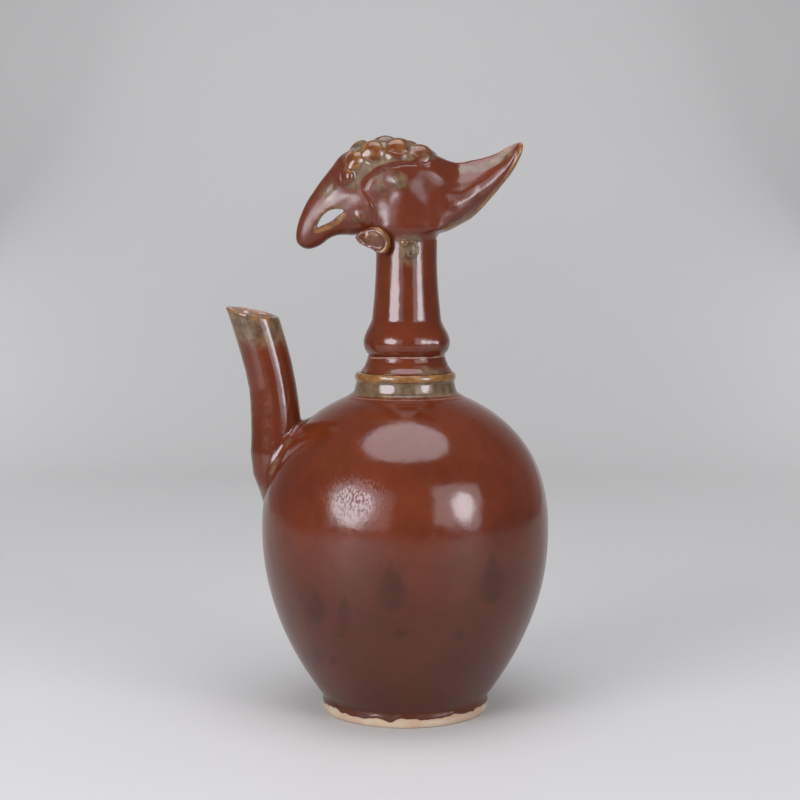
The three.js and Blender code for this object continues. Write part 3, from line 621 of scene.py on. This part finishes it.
class EWER_OT_body(Operator):
    """Make the thrown body, glazed down over the foot"""

    bl_idname = "ewer.body"
    bl_label = "Body"

    # Dark flames on the belly: x, z, half width, half height
    FLAMES = [
        (-47.8, 71, 5.5, 11.5), (-32.2, 70, 4.2, 12), (-33.5, 56.6, 3.6, 2), (-48.2, 41, 5, 5.5),
        (-38.2, 39.8, 2.4, 3), (-7.6, 86, 9, 15), (45, 88, 7, 16), (-3, 60, 4, 3), (28, 58, 3, 5),
    ]

    def execute(self, context):
        sizes = context.scene.ewer_sizes
        low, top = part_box("body_lower")[0].z / MM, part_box("body_upper")[1].z / MM
        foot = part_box("foot")[1].x / MM
        wall, coat, edge = sizes.wall / MM, sizes.glaze_coat / MM, sizes.glaze_edge / MM
        # Heights at which the skirt of glaze over the foot meets the body's own curve, and of the inner floor
        meet, floor = 10.5, low + 6
        skirt = smooth_row(
            [(foot - 0.6, edge + 0.5), (foot - 0.05, edge + 0.02), (foot + coat, edge + 0.25),
             (foot + coat, edge + 1.1), (foot + 0.1, 8.2), (float(body_radius(meet)), meet)], 0.35
        )
        up, down = np.linspace(meet, top, 1500), np.linspace(top, floor, 600)
        outer = even_row(np.column_stack([body_radius(up), up]), 1.3)
        inner = even_row(np.column_stack([body_radius(down) - wall, down]), 5)
        profile = [(0, low), (foot - 1.2, low), *skirt[:-1], *outer, *inner, (0, floor)]
        mesh = as_mesh(spun(profile, steps=256), "body")
        co = arrays(mesh)[0]
        self.wander(co, edge, sizes.drip / MM)
        move(mesh, co)
        self.paint_flames_and_shade(mesh)
        piece("body", mesh, iron_glaze(), ["body_lower", "body_upper"])
        return {"FINISHED"}

    def wander(self, co, edge, drip):
        """Lets the glaze edge wander round the foot, with one long drip in front, and the wall swell."""
        _, out, ring = around(co)
        ragged = 1.1 * swells(ring, 0.42, 2) + 0.8 * swells(ring, 0.13, 3) + 0.5 * swells(ring, 0.05, 14)
        long_drip = 1.2 * peak(co[:, 0] + 8.5, 3.2) * (co[:, 1] < 0)
        share = fall(co[:, 2], edge + 0.6, edge + 4) * (out > 44.9)
        co[:, 2] += share * (drip * ragged - long_drip)
        hand = 0.22 * swells(co, 45, 4) * rise(co[:, 2], 14, 40) * fall(co[:, 2], 160, 174)
        co[:, :2] *= (1 + (hand - 0.1) / np.maximum(out, 20))[:, None]

    def paint_flames_and_shade(self, mesh):
        """Flames with a pointed top and a rounded foot, as a pour leaves them, painted shade low on the body,
        and the duller places.
        """
        co = arrays(mesh)[0]
        x, z = co[:, 0], co[:, 2]
        near = co[:, 1] < 0
        flame = np.zeros(len(co))
        wobble = 0.9 * swells(co, 7, 16)
        for fx, fz, width, height in self.FLAMES:
            up = (z - fz) / height
            rounded = np.sqrt(np.clip(1 - np.clip((-up - 0.35) / 0.65, 0, 1) ** 2, 0.02, 1))
            narrow = width * np.clip(fall(up, -0.3, 1.05), 0.05, 1) * rounded
            across = np.abs(x - fx - wobble) / narrow
            flame = np.maximum(flame, fall(across, 0.5, 1.25) * fall(np.abs(up), 0.8, 1.1))
        flame *= near * (0.75 + 0.4 * wobble)
        # Painted shade: the glaze is painted darker towards the bottom of the body
        low = 0.5 * fall(z, 60, 128)
        pitted = peak(x + 25, 15) * peak(z - 130, 10) * near
        paint(mesh, thick_run=low + (1 - low) * 0.75 * flame, pitted=pitted, satin=0.35 * fall(z, 96, 122))


class EWER_OT_collar(Operator):
    """Make the collar where the neck is luted to the shoulder"""

    bl_idname = "ewer.collar"
    bl_label = "Collar"

    def execute(self, context):
        b, t = (corner.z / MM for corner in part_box("shoulder_collar"))
        heights = np.linspace(b - 12, b + 6, 400)

        def seated(radius, over):
            """The place at that radius and so far over the body's shoulder."""
            return radius, float(np.interp(-radius, -body_radius(heights), heights)) + over

        outside = smooth_row(
            [seated(35.0, -0.3), seated(33.4, -0.02), seated(31.8, 0.25), seated(30.4, 0.7), (29.2, b + 1.9),
             (28.5, b + 3.1), (28.1, b + 4.4), (27.8, b + 5.7), (27.55, b + 7), (27.4, b + 8.2),
             (27.6, b + 9.2), (27.95, b + 9.9), (28.05, b + 11), (27.8, b + 12.3), (27.2, t - 0.25),
             (26.4, t), (24.2, t)], 0.3
        )
        bore = 17.2
        mesh = as_mesh(spun([*outside, (bore, t), (bore, b), (28, b - 0.6), outside[0]]), "collar")
        # The roll at its top was pressed on by hand, so it wanders up and down
        co = arrays(mesh)[0]
        _, out, ring = around(co)
        band = rise(co[:, 2], b + 7.6, b + 9.2) * (out > 22)
        lift = 0.9 * swells(ring, 0.5, 5) + 0.35 * swells(ring, 0.17, 6) - 0.35
        co[:, 2] += lift * band * (1 - 0.75 * rise(co[:, 2], t - 3.5, t))
        co[:, :2] *= (1 + 0.006 * swells(ring, 0.35, 7) * band)[:, None]
        co[:, 2] = np.minimum(co[:, 2], t + 0.05)
        move(mesh, co)
        z = co[:, 2] - lift * band
        amber = rise(z + 0.9 * rise(-co[:, 0], 10, 24), b + 9.1, b + 9.9)
        olive = rise(z, b + 0.8, b + 2) * (1 - amber) + 0.4 * amber
        # The thin pale line at the collar's foot is a painted highlight along its fillet
        paint(mesh, olive=olive, amber=amber * 0.8, slip=0.45 * peak(z - b - 0.3, 0.4))
        piece("collar", mesh, iron_glaze(), ["shoulder_collar"])
        return {"FINISHED"}


def neck_root():
    """The height, in millimetres, at which the neck stands on the collar."""
    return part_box("neck_moulding")[0].z / MM


def neck_outside(above, below):
    """The outside of the neck between two heights over its root, as (radius, height) in millimetres."""
    tube = [(16.8 + 2.6 * (1 - t) ** 2.3, 28.3 + 47 * t) for t in np.linspace(0.02, 1, 12)]
    row = smooth_row([*MOULDING, *tube], 0.5)
    return row[(row[:, 1] >= above) & (row[:, 1] <= below)] + (0, neck_root())


def on_neck_axis(bm):
    """Moves the solid from the body's axis to the neck's, which stands a little to the plume's side."""
    shift = (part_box("neck_tube")[0].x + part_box("neck_tube")[1].x) / 2
    bmesh.ops.translate(bm, verts=bm.verts, vec=(shift, 0, 0))
    return bm


class EWER_OT_neck_foot(Operator):
    """Make the flared foot of the neck, up to the joint in the groove"""

    bl_idname = "ewer.neck_foot"
    bl_label = "Neck foot"

    def execute(self, context):
        foot = neck_root()
        joint, bore = foot + NECK_JOINT + 0.4, 15.6
        outside = neck_outside(0, NECK_JOINT)
        profile = [*outside, (20.6, joint), (bore, joint), (bore, foot + 0.1), outside[0]]
        mesh = as_mesh(on_neck_axis(spun(profile)), "neck_foot")
        co = arrays(mesh)[0]
        turn, out, _ = around(co)
        outer = out > 18
        # The joint shows as a thin, sloping line of slip, with a softer throwing line under it
        line = foot + 8.9 + 0.6 * np.sin(turn + 1.9) + 0.25 * np.sin(3 * turn + 1)
        ridge = peak(co[:, 2] - line, 0.4) * outer
        lower = peak(co[:, 2] - foot - 5.0, 0.8) * outer
        stand = 0.35 * ridge + 0.18 * lower + 0.12 * swells(co, 12, 8)
        co[:, :2] *= (1 + stand / np.maximum(out, 5))[:, None]
        move(mesh, co)
        cone = fall(co[:, 2], foot + 3, foot + 7) * rise(swells(co, 10, 18), -0.35, 0.3)
        paint(mesh, slip=ridge * rise(swells(co, 9, 9), -0.6, -0.1), olive=0.5 * cone)
        piece("neck_foot", mesh, iron_glaze(), ["neck_moulding"])
        return {"FINISHED"}


class EWER_OT_head(Operator):
    """Make the bird's head with its beak, crest, eyes and plume"""

    bl_idname = "ewer.head"
    bl_label = "Head"

    def execute(self, context):
        sizes = context.scene.ewer_sizes
        bm = bmesh.new()
        for node in HEAD_NODES:
            bm.from_mesh(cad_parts[node].data)
        bmesh.ops.remove_doubles(bm, verts=bm.verts, dist=1e-6)
        # The two halves lose the faces where they meet
        middle = [f for f in bm.faces if all(abs(v.co.y) < 1e-6 for v in f.verts)]
        bmesh.ops.delete(bm, geom=middle, context="FACES")
        bmesh.ops.remove_doubles(bm, verts=bm.verts, dist=1e-5)
        tree = BVHTree.FromBMesh(bm)
        add_copy(bm, LOBE_NODES, grow=1.4, toward=self.inwards, spread=1.5)
        add_copy(bm, PELLET_NODES, grow=0.8, toward=self.inwards)
        for sign in (-1, 1):
            rolled(bm, self.on_flank(tree, FACE_ROLL, sign, sink=0.8), radius=1.5, ends=0.7)
            rolled(bm, self.on_flank(tree, CREST_BASE[1:], sign, sink=0.5), radius=1.1)
        # The neck rises from the joint in the groove, and runs into the head. Its bore widens lower down.
        seam, top = neck_root() + NECK_JOINT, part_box("neck_tube")[1].z / MM
        bore, wide_bore, end = 12.6, 15.6, top + 1.2
        inside = [(16.8, end), (bore, end), (bore, top - 47), (wide_bore, top - 49), (wide_bore, seam)]
        tube = [*neck_outside(NECK_JOINT, math.inf), *inside]
        bm.from_mesh(as_mesh(on_neck_axis(spun([*tube, tube[0]], steps=128)), "raw"))
        mesh = melted(bm, sizes.melt, rounds=4)
        self.press(mesh, tree, sizes.groove / MM)
        self.glaze(mesh)
        nodes = [*HEAD_NODES, *LOBE_NODES, *PELLET_NODES, "neck_tube"]
        piece("head_and_neck", mesh, iron_glaze(), nodes)
        return {"FINISHED"}

    def inwards(self, at):
        """From a place on the head, in millimetres, towards the head's middle."""
        return Vector((-8, 0, 286)) - at

    def on_flank(self, tree, line, sign, sink):
        """The line laid on one flank of the head and sunk into it, in millimetres."""
        points = []
        for x, z in smooth_row(line, 1.0):
            hit = tree.ray_cast(Vector((x, sign * 60, z)) * MM, Vector((0, -sign, 0)))[0]
            if hit is not None:
                points.append(hit / MM - Vector((0, sign * sink, 0)))
        if len(points) < 4:
            raise RuntimeError("the line misses the head's flank")
        return points

    def press(self, mesh, tree, depth):
        """Models the head as fingers do, and presses the lines of the face and the plume into it."""
        co, normals, edges = arrays(mesh)
        x, z = co[:, 0], co[:, 2]
        crest = rise(x, -40, -35) * fall(x, 17, 24) * rise(z, 285, 290)
        eye = fall(near_spot(x, z, EYE), 4.5, 8)
        cheek = fall(near_spot(x, z, CHEEK), 3.5, 6)
        joint = rise(z, 256, 263) * fall(z, 277, 285) * rise(x, -16, -11) * fall(x, 18, 23)
        face = fall(near_line(x, z, FACE_ROLL), 2, 5)
        pressed = np.maximum(np.maximum(crest, eye), cheek)
        self.fill_bed(co, normals, tree, crest)
        co = closed(co, normals, edges, pressed, reach=5, keep=0.2)
        co = softened(co, edges, 50, eye)
        co += normals * (0.5 * swells(co, 3.6, 15) * eye)[:, None]
        facet = self.flatten(co, normals, x, z)
        co = softened(co, edges, 40, np.minimum(1, facet * 2) * 0.9)
        outwards = normals[:, 1] * np.sign(co[:, 1])
        self.fill_out(co, outwards, x, z)
        co = softened(co, edges, 14, joint)
        co = softened(co, edges, 24, np.maximum(pressed * 0.9, face * 0.8))
        # Each scallop is flat-topped, with a crisp valley round it
        off = self.from_scallops(x, z)
        flat = rise(outwards, 0.1, 0.45) * (z > 290)
        co = softened(co, edges, 24, flat * fall(off, 0.9, 1.05))
        co += normals * (1.15 * flat * (1 - np.clip(off, 0, 1) ** 4))[:, None]
        co = softened(co, edges, 2, crest)
        # The groove of the face, the double line along the keel, and slow swells
        flank = np.abs(normals[:, 1]) * (np.abs(co[:, 1]) > 2.5)
        keel, plume = near_line(x, z, PLUME_KEEL), x > 14
        sink = depth * 1.1 * peak(near_line(x, z, FACE_GROOVE), 0.75) * flank
        sink += (depth * 0.6 * peak(keel - 2.1, 0.8) - 0.35 * peak(keel, 1.3)) * plume
        sink += 0.5 * swells(co, 12, 10) * rise(x, 12, 27) + 0.3 * swells(co, 9, 13) * rise(z, 255, 275)
        move(mesh, co - normals * sink[:, None])

    def fill_bed(self, co, normals, tree, crest):
        """Raises the ground between the crest's lobes, so that only their upper halves stand out of it."""
        thick = 1.0
        x, z = co[:, 0], co[:, 2]
        base = np.interp(x, *zip(*CREST_BASE))
        bed = crest * rise(z, base - 1, base + 3) * rise(np.hypot(x + 6, co[:, 1]), 8.5, 11)
        bed *= facing_out(co, normals, (-8, 0, 282))
        for i in np.flatnonzero(bed > 0):
            height = (Vector(co[i]) * MM - tree.find_nearest(Vector(co[i]) * MM)[0]).length / MM
            co[i] += normals[i] * max(0, thick - height) * bed[i]

    def flatten(self, co, normals, x, z):
        """Presses a broad facet behind the eye, as a thumb leaves it, and gives its share at each vertex."""
        at_x, at_z, most = 7, 288, 1.3
        facet = fall(np.hypot((x - at_x - 0.5 * (z - at_z)) / 13, (z - at_z) / 10.5), 0.65, 1.15)
        facet *= (np.abs(normals[:, 1]) > 0.3) * facing_out(co, normals, (0, 0, 289))
        core = facet > 0.9
        plane = np.abs(co[core, 1]).mean() - 0.394 * (x - x[core].mean()) - 0.19 * (z - z[core].mean())
        co[:, 1] += np.sign(co[:, 1]) * np.clip(plane - np.abs(co[:, 1]), -most, most) * facet * 0.8
        return facet

    def fill_out(self, co, outwards, x, z):
        """Lets the flank overhang the neck a little, and the plume be widest just above its keel."""
        share = rise(z, 263.5, 268.5) * fall(z, 276, 290) * fall(np.abs(x - 3), 13, 27)
        share *= (outwards > 0.15) * (np.abs(co[:, 1]) > 5)
        widest, middle, reach = 18.8, 2, 32
        full = widest * np.sqrt(np.clip(1 - ((x - middle) / reach) ** 2, 0, 1))
        co[:, 1] += np.sign(co[:, 1]) * np.maximum(0, full - np.abs(co[:, 1])) * share
        keel, top = np.interp(x, *zip(*PLUME_KEEL)), np.interp(x, *zip(*PLUME_TOP))
        down = np.clip(1 - 2 * (z - keel) / np.maximum(top - keel, 1), -1, 1)
        co[:, 1] *= 1 + 0.6 * down * rise(x, 12, 32)

    def from_scallops(self, x, z):
        """How far each place lies from the nearest scallop's middle, as a share of its reach."""
        return np.min([near_spot(x, z, middle) / reach for *middle, reach in SCALLOPS], axis=0)

    def glaze(self, mesh):
        """Amber on edges, olive in the crest, on the plume's upper strip, round the eye and at the mouth."""
        co, normals, _ = arrays(mesh)
        x, y, z = co[:, 0], np.abs(co[:, 1]), co[:, 2]
        above = z - np.interp(x, *zip((-30, 289), *CREST_BASE, (22, 304.5)))
        crest = rise(x, -37, -28) * fall(x, 13, 19) * rise(above, 0, 2.2)
        # The scallops are brown with an amber upper edge, in an olive bed
        off = self.from_scallops(x, z)
        scallop = fall(off, 0.75, 0.95) * (0.6 + 0.4 * rise(above, 3, 9))
        rim = peak(off - 0.76, 0.14) * rise(above, 7, 13)
        tip = fall(near_spot(x, z, PLUME_KEEL[-1]), 2, 6)
        keel = fall(near_line(x, z, PLUME_KEEL), 1.6, 2.5) * rise(x, 14, 22)
        cheek = near_spot(x, z, CHEEK)
        socket = np.hypot((x - SOCKET[0]) / 1.25, z - SOCKET[1])
        outside = rise(y, 1, 3)
        amber = np.max([
            crest * (0.42 * scallop + 0.5 * rim) * rise(above, 2.5, 6),
            keel * np.maximum(rise(np.abs(normals[:, 1]), 0.15, 0.45), tip),
            0.8 * fall(near_line(x, z, PLUME_TOP), 0.5, 1.3),
            0.85 * fall(near_line(x, z, LOWER_LIP), 0.6, 1.7) * outside,
            0.75 * fall(near_line(x, z, UPPER_LIP), 0.4, 1.0) * outside,
            0.5 * fall(cheek, 0.8, 2.2),
        ], axis=0)
        groove = neck_root() + 12
        olive = np.max([
            crest * (0.8 + 0.25 * swells(co, 6, 17) - 0.6 * scallop),
            0.72 * fall(near_line(x, z, PLUME_STRIP), 1.0, 3.8),
            0.75 * fall(socket, 5.5, 10) * rise(swells(co, 5, 11), -0.6, 0.05),
            0.6 * peak(cheek - 2.8, 1.1),
            0.6 * fall(near_spot(x, z, MOUTH_CORNER), 3, 6),
            0.55 * fall(near_spot(x, z, BRIDGE), 2, 9),
            # In the neck's groove, and round the scroll on the throat
            0.5 * peak(z - groove, 2.5) * rise(-x, 4, 20),
            0.92 * fall(np.abs(x - 2.2), 3.5, 9) * rise(z, 243, 256) * fall(z, 262, 268) * (y > 6),
        ], axis=0)
        satin = (0.4 + 0.6 * fall(x, -40, -24)) * rise(z, 255, 262) * (1 - crest)
        paint(mesh, amber=amber, olive=olive, satin=satin)


class EWER_OT_wattles(Operator):
    """Make the two curled wattles behind the beak"""

    bl_idname = "ewer.wattles"
    bl_label = "Wattles"

    # Where the glaze runs thin: the tip, the upper and back rim, and two strokes in the dish, as (x, z)
    TIP = (-26.5, 263.5)
    RIM = [
        (-20, 270.4), (-17, 269.7), (-12.9, 268.2), (-9.7, 264.5), (-9.3, 260), (-11.5, 256.6), (-13.8, 256.9),
    ]
    STROKES = [(-21.6, 264.2), (-20.9, 267), (-19, 266.2), (-15.5, 265.4)]

    def execute(self, context):
        for node in ("wattle_left", "wattle_right"):
            bm = bmesh.new()
            add_copy(bm, [node], grow=0.35)
            mesh = melted(bm, voxel=0.32 * MM, rounds=12)
            co, _, edges = arrays(mesh)
            x, z = co[:, 0], co[:, 2]
            # The dish and its curl are shallow under the glaze: the face is brought to a slightly domed plane
            turn, root_x, root_y = math.atan2(8.4, 19), -17.4, 13.2
            at_x, at_z, half_width, half_height = -17.6, 263, 9, 6
            depth = (np.abs(co[:, 1]) - root_y) * math.cos(turn) - (x - root_x) * math.sin(turn)
            inside = np.hypot((x - at_x) / half_width, (z - at_z) / half_height)
            share = 0.8 * fall(inside, 0.6, 1.05) * rise(depth, 1.2, 2)
            lift = (3.1 + 0.5 * (1 - inside**2) + 0.3 * (z - at_z) - depth) * share
            co[:, 0] -= lift * math.sin(turn)
            co[:, 1] += np.sign(co[:, 1]) * lift * math.cos(turn)
            co = softened(co, edges, 12, np.ones(len(co)))
            move(mesh, co)
            strokes = np.minimum(near_line(x, z, self.STROKES[:2]), near_line(x, z, self.STROKES[2:]))
            thin = np.maximum(0.28, 0.8 * fall(strokes, 0.4, 1.0))
            thin = np.maximum(thin, 0.6 * fall(near_spot(x, z, self.TIP), 0.8, 2))
            thin = np.maximum(thin, fall(near_line(x, z, self.RIM), 0.5, 1.5))
            # Painted shade: the wattle's face is painted darker, standing in for the shade of the dish that
            # was filled in above
            paint(mesh, amber=thin, thick_run=0.35, satin=0.6)
            piece(f"{node}_glazed", mesh, iron_glaze(), [node])
        return {"FINISHED"}


class EWER_OT_scrolls(Operator):
    """Make the small scrolls at the top of the neck"""

    bl_idname = "ewer.scrolls"
    bl_label = "Throat scrolls"

    DISC_MIDDLE = (-1.2, 261.4)

    def execute(self, context):
        for node in ("throat_scroll_left", "throat_scroll_right"):
            bm = bmesh.new()
            add_copy(bm, [node], grow=0.3)
            mesh = melted(bm, voxel=0.25 * MM, rounds=4)
            co = arrays(mesh)[0]
            disc = fall(near_spot(co[:, 0], co[:, 2], self.DISC_MIDDLE), 2.0, 3.0)
            paint(mesh, olive=1 - 0.4 * disc, amber=disc * 0.6)
            piece(f"{node}_glazed", mesh, iron_glaze(), [node])
        return {"FINISHED"}


class EWER_OT_spout(Operator):
    """Make the spout, luted to the shoulder with a roll of clay"""

    bl_idname = "ewer.spout"
    bl_label = "Spout"

    # The spout's middle line where it meets the body, as (x, z)
    AXIS = [(-55.9, 113.6), (-63, 120.2), (-68.8, 129.7), (-71.6, 141), (-71.7, 150.8), (-72.2, 163.9)]
    # Where the glaze runs thin on the near rim of the lip, and on the far one, as ranges of x
    DASHES = {-1: [(-99, -87), (-83.8, -80.4), (-77.6, -74.4)], 1: [(-99, -95)]}

    def execute(self, context):
        sizes = context.scene.ewer_sizes
        bm = bmesh.new()
        add_copy(bm, ["spout"])
        add_copy(bm, ["spout_fillet"], grow=2.2, toward=lambda at: Vector((-at.x, -at.y, 0)))
        mesh = melted(bm, sizes.melt * 1.05, rounds=5)
        # The fillet thins to nothing towards its outer edge
        co, _, edges = arrays(mesh)
        out = np.hypot(co[:, 0], co[:, 1])
        off = out - body_radius(co[:, 2])
        tube, width, thick = 14.8, 3.7, 2.8
        clear = np.hypot(co[:, 1], near_line(co[:, 0], co[:, 2], self.AXIS)) - tube
        thin = thick * (1 - np.clip(clear / width, 0, 1)) ** 1.7 - 0.3
        share = rise(clear, 0.2, 1.4) * (off > -0.8) * (off < 4)
        co[:, :2] *= (1 + share * np.minimum(0, thin - off) / out)[:, None]
        move(mesh, softened(co, edges, 14, fall(off, 3.5, 8) * fall(clear, 2, 3.4)))
        self.glaze(mesh)
        piece("spout_glazed", mesh, iron_glaze(), ["spout", "spout_fillet"])
        return {"FINISHED"}

    def glaze(self, mesh):
        """Olive towards the lip and along the seam, amber at the tip and on the rim, and inside the lip a
        painted reflection of the overhead softbox, in the pale slip colour.
        """
        co, normals, edges = arrays(mesh)
        x, y, z = co[:, 0], co[:, 1], co[:, 2]
        off = np.hypot(x, y) - body_radius(z)
        tip_x, tip_z, lip, drop = -99.8, 226.1, 25, 8.2
        below = tip_z - drop * np.clip((x - tip_x) / lip, 0, 1) - z
        stand = ((co - softened(co, edges, 14, np.ones(len(co)))) * normals).sum(1)
        rim = fall(below, 0.8, 2.0) * rise(stand, -0.02, 0.06)
        amber = 0.9 * fall(x, -98.5, -96.5) * fall(below, 4, 11)
        for side, ranges in self.DASHES.items():
            for start_x, end_x in ranges:
                dash = rise(x, start_x - 0.4, start_x + 0.8) * fall(x, end_x - 0.8, end_x + 0.4)
                amber = np.maximum(amber, dash * rim * (y * side > 2))
        # Inside the lip, a pale band is painted as the reflection of the overhead softbox
        inside = (normals[:, 0] * (x + 87) + normals[:, 1] * y) < -0.3
        slip = np.where(inside & (below < 9), fall(below, 5, 9), 0)
        seam = 0.55 * fall(off, 1.0, 5) * rise(swells(co, 7, 12), -0.35, 0.35)
        olive = np.maximum(0.8 * rise(z, 196, 214) * (1 - slip), seam)
        paint(mesh, amber=amber, slip=slip * 0.8, olive=olive)


class EWER_PT_panel(Panel):
    """The ewer's settings and makers"""

    bl_idname = "EWER_PT_panel"
    bl_label = "Bird-headed ewer"
    bl_space_type = "VIEW_3D"
    bl_region_type = "UI"
    bl_category = "Ewer"

    def draw(self, context):
        for group in (context.scene.ewer_sizes, context.scene.ewer_colours):
            for name in type(group).__annotations__:
                self.layout.prop(group, name)
        for maker in MAKERS:
            self.layout.operator(maker.bl_idname)


MAKERS = (
    EWER_OT_stage, EWER_OT_foot, EWER_OT_body, EWER_OT_collar, EWER_OT_neck_foot, EWER_OT_head,
    EWER_OT_wattles, EWER_OT_scrolls, EWER_OT_spout,
)
CLASSES = (EwerSizes, EwerColours, *MAKERS, EWER_PT_panel)


def register():
    for cls in CLASSES:
        bpy.utils.register_class(cls)
    bpy.types.Scene.ewer_sizes = PointerProperty(type=EwerSizes)
    bpy.types.Scene.ewer_colours = PointerProperty(type=EwerColours)


def unregister():
    del bpy.types.Scene.ewer_sizes
    del bpy.types.Scene.ewer_colours
    for cls in reversed(CLASSES):
        bpy.utils.unregister_class(cls)


def main():
    register()
    for maker in MAKERS:
        getattr(bpy.ops.ewer, maker.bl_idname.split(".")[1])()


if __name__ == "__main__":
    main()
